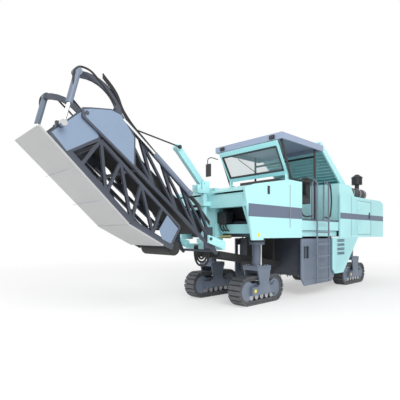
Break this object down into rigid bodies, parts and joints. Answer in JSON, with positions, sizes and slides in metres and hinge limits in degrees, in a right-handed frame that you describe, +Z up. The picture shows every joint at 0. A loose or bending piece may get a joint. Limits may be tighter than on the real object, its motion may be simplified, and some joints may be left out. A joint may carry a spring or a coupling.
{
  "type": "cold planer milling machine",
  "caption": "Cold planer milling machine on crawler tracks, with a milling drum under its middle, a roofed operator stand and a front loading conveyor folded back under itself.",
  "frame": {"origin": "centre of the bounding box, on the ground", "axes": "+X forward, towards the loading conveyor; +Y the machine's left; +Z up"},
  "size_m": [11.1807, 2.5, 4.05],
  "materials": {
    "teal_paint": "satin",
    "slate_paint": "satin",
    "chassis_paint": "satin",
    "cover_paint": "satin",
    "black_plastic": "matte",
    "track_rubber": "matte",
    "belt_rubber": "matte",
    "chrome": "polished",
    "tool_steel": "matte"
  },
  "bodies": {
    "machine": {"main_frame": "chassis_paint", "engine_block": "chassis_paint", "ladder_left": "chassis_paint", "ladder_right": "chassis_paint", "drum_housing": "chassis_paint", "front_crossbeam": "teal_paint", "front_hood": "teal_paint", "engine_hood": "teal_paint", "rear_wall": "teal_paint", "front_wall": "teal_paint", "rear_screen": "teal_paint", "front_panel_left": "teal_paint", "front_panel_right": "teal_paint", "rear_panel_left": "teal_paint", "rear_panel_right": "teal_paint", "skirt_left": "teal_paint", "skirt_right": "teal_paint", "canopy_roof": "slate_paint", "operator_deck": "black_plastic", "roof_posts": "black_plastic", "operator_seat": "black_plastic", "control_console": "black_plastic", "air_cleaner": "black_plastic", "primary_conveyor": "belt_rubber"},
    "crawler_front_left": {"leg_front_left": "chassis_paint", "track_front_left": "track_rubber"},
    "crawler_front_right": {"leg_front_right": "chassis_paint", "track_front_right": "track_rubber"},
    "crawler_rear_left": {"leg_rear_left": "chassis_paint", "track_rear_left": "track_rubber"},
    "crawler_rear_right": {"leg_rear_right": "chassis_paint", "track_rear_right": "track_rubber"},
    "milling_drum": {"milling_drum": "tool_steel"},
    "moldboard": {"moldboard": "chassis_paint"},
    "side_plate_left": {"side_plate_left": "slate_paint"},
    "service_door_left": {"service_door_left": "teal_paint"},
    "side_plate_right": {"side_plate_right": "slate_paint"},
    "service_door_right": {"service_door_right": "teal_paint"},
    "rear_door": {"rear_door": "teal_paint"},
    "conveyor_slew": {"slew_frame": "teal_paint"},
    "conveyor_rear": {"conveyor_rear_frame": "slate_paint", "conveyor_rear_belt": "belt_rubber"},
    "conveyor_front": {"conveyor_front_frame": "slate_paint", "conveyor_front_belt": "belt_rubber", "conveyor_covers": "cover_paint"},
    "fold_barrel_left": {"fold_barrel_left": "black_plastic"},
    "fold_rod_left": {"fold_rod_left": "chrome"},
    "fold_barrel_right": {"fold_barrel_right": "black_plastic"},
    "fold_rod_right": {"fold_rod_right": "chrome"},
    "luffing_arm": {"luffing_arm": "teal_paint"},
    "tie_rope": {"tie_rope": "black_plastic"}
  },
  "joints": [
    {"name": "steer_front_left", "type": "hinge", "parent": "machine", "child": "crawler_front_left", "pos_m": [0.8796, 0.72, 0.85], "axis": [0, 0, 1], "range_deg": [-20, 20]},
    {"name": "steer_front_right", "type": "hinge", "parent": "machine", "child": "crawler_front_right", "pos_m": [0.8796, -0.72, 0.85], "axis": [0, 0, 1], "range_deg": [-20, 20]},
    {"name": "steer_rear_left", "type": "hinge", "parent": "machine", "child": "crawler_rear_left", "pos_m": [-3.8704, 0.72, 0.85], "axis": [0, 0, 1], "range_deg": [-20, 20]},
    {"name": "steer_rear_right", "type": "hinge", "parent": "machine", "child": "crawler_rear_right", "pos_m": [-3.8704, -0.72, 0.85], "axis": [0, 0, 1], "range_deg": [-20, 20]},
    {"name": "drum_spin", "type": "hinge", "parent": "machine", "child": "milling_drum", "pos_m": [-1.4904, 0, 0.8], "axis": [0, 1, 0], "continuous": true},
    {"name": "moldboard_swing", "type": "hinge", "parent": "machine", "child": "moldboard", "pos_m": [-2.2504, 0, 1.27], "axis": [0, 1, 0], "range_deg": [0, 75]},
    {"name": "side_plate_lift_left", "type": "slide", "parent": "machine", "child": "side_plate_left", "axis": [0, 0, 1], "range_m": [-0.24, 0.2]},
    {"name": "service_door_hinge_left", "type": "hinge", "parent": "machine", "child": "service_door_left", "pos_m": [-3.4554, 1.1653, 1.5], "axis": [0, 0, -1], "range_deg": [0, 110]},
    {"name": "side_plate_lift_right", "type": "slide", "parent": "machine", "child": "side_plate_right", "axis": [0, 0, 1], "range_m": [-0.24, 0.2]},
    {"name": "service_door_hinge_right", "type": "hinge", "parent": "machine", "child": "service_door_right", "pos_m": [-3.4554, -1.1653, 1.5], "axis": [0, 0, 1], "range_deg": [0, 110]},
    {"name": "rear_door_hinge", "type": "hinge", "parent": "machine", "child": "rear_door", "pos_m": [-5.5754, 0, 2.5], "axis": [0, 1, 0], "range_deg": [0, 80]},
    {"name": "conveyor_slew", "type": "hinge", "parent": "machine", "child": "conveyor_slew", "pos_m": [1.8596, 0, 1.28], "axis": [0, 0, 1], "range_deg": [-30, 30]},
    {"name": "conveyor_lift", "type": "hinge", "parent": "conveyor_slew", "child": "conveyor_rear", "pos_m": [2.2396, 0, 1.46], "axis": [0, -1, 0], "range_deg": [-12, 4]},
    {"name": "conveyor_fold", "type": "hinge", "parent": "conveyor_rear", "child": "conveyor_front", "pos_m": [4.8896, 0, 3.4], "axis": [0, -1, 0], "range_deg": [0, 175]},
    {"name": "fold_cylinder_left", "type": "hinge", "parent": "conveyor_rear", "child": "fold_barrel_left", "pos_m": [5.0696, 0.67, 3.95], "axis": [0, 1, 0], "range_deg": [-15, 15]},
    {"name": "fold_rod_slide_left", "type": "slide", "parent": "fold_barrel_left", "child": "fold_rod_left", "axis": [0.2539, 0, -0.9672], "range_m": [0, 0.3]},
    {"name": "fold_cylinder_right", "type": "hinge", "parent": "conveyor_rear", "child": "fold_barrel_right", "pos_m": [5.0696, -0.67, 3.95], "axis": [0, 1, 0], "range_deg": [-15, 15]},
    {"name": "fold_rod_slide_right", "type": "slide", "parent": "fold_barrel_right", "child": "fold_rod_right", "axis": [0.2539, 0, -0.9672], "range_m": [0, 0.3]},
    {"name": "arm_luff", "type": "hinge", "parent": "conveyor_slew", "child": "luffing_arm", "pos_m": [1.9296, 0, 2.66], "axis": [0, -1, 0], "range_deg": [-36, 12]},
    {"name": "tie_swing", "type": "hinge", "parent": "luffing_arm", "child": "tie_rope", "pos_m": [2.6296, 0, 3.36], "axis": [0, -1, 0], "range_deg": [-20, 40]}
  ],
  "couplings": [
    {"joint": "steer_front_right", "follows": "steer_front_left", "ratio": 1},
    {"joint": "steer_rear_right", "follows": "steer_rear_left", "ratio": 1},
    {"joint": "arm_luff", "follows": "conveyor_lift", "ratio": 2.95},
    {"joint": "tie_swing", "follows": "conveyor_lift", "ratio": -3.15}
  ]
}
